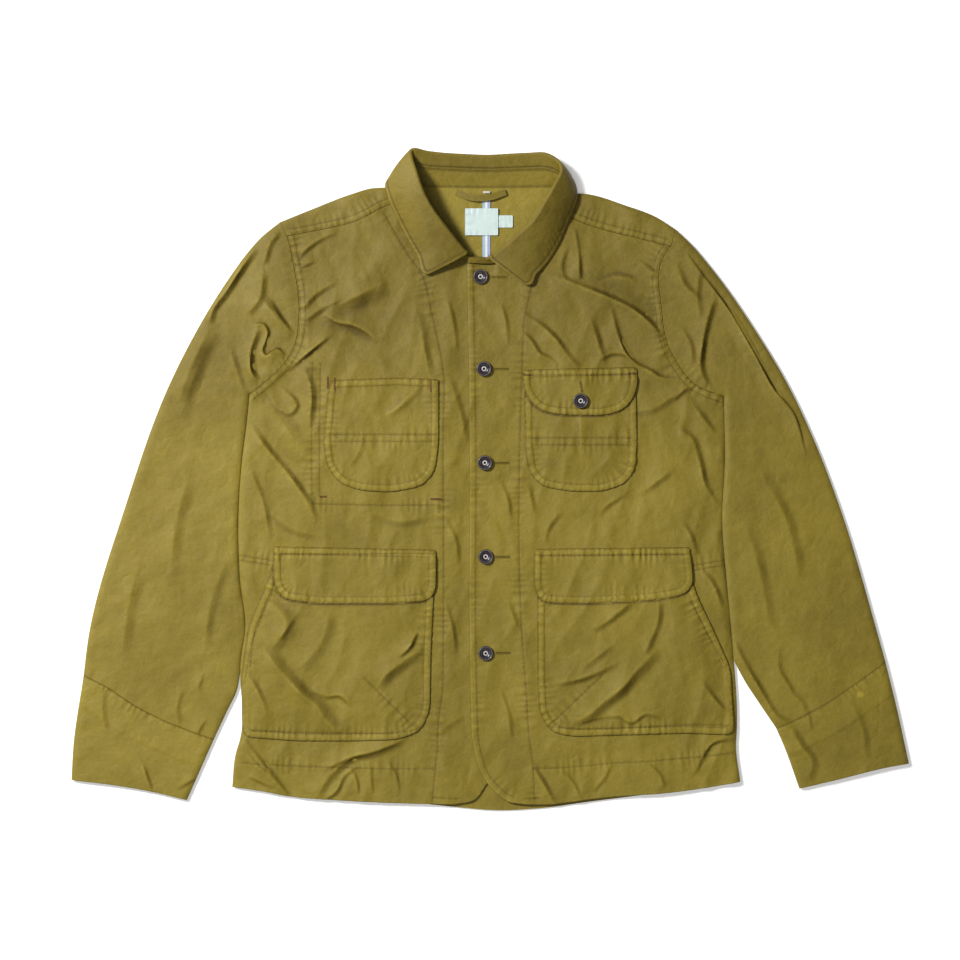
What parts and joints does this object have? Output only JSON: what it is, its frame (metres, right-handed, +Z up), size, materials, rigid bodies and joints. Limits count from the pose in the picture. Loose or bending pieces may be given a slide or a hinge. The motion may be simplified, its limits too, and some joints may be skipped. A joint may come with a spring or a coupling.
{
  "type": "waxed jacket",
  "caption": "Waxed cotton field jacket laid flat on its back, buttoned, with a folded collar, patch pockets with flaps and deep cuffs.",
  "frame": {"origin": "centre of the jacket's outline, on the surface that it lies on", "axes": "+X to the wearer's left, across both sleeves; +Y from the hem to the collar; +Z up from the surface"},
  "size_m": [0.9636, 0.7601, 0.0318],
  "materials": {
    "waxed_cotton": "olive-ochre waxed cotton, soft low sheen",
    "button": "dark brown, worn pale on the rim",
    "label": "pale woven satin, bare",
    "tape": "pale blue and white striped cotton tape"
  },
  "bodies": {
    "root": {"back": "waxed_cotton", "yoke": "waxed_cotton", "front_right": "waxed_cotton", "front_left": "waxed_cotton", "sleeve_right": "waxed_cotton", "sleeve_left": "waxed_cotton", "cuff_right": "waxed_cotton", "cuff_left": "waxed_cotton", "collar_stand": "waxed_cotton", "collar_leaf": "waxed_cotton", "chest_pocket_right": "waxed_cotton", "chest_pocket_left": "waxed_cotton", "chest_flap": "waxed_cotton", "lower_pocket_right": "waxed_cotton", "lower_pocket_left": "waxed_cotton", "lower_flap_right": "waxed_cotton", "lower_flap_left": "waxed_cotton", "front_button_1": "button", "front_button_2": "button", "front_button_3": "button", "front_button_4": "button", "front_button_5": "button", "flap_button": "button", "hang_loop": "waxed_cotton", "seam_tape": "tape", "neck_label": "label", "size_tab": "label"}
  },
  "joints": []
}
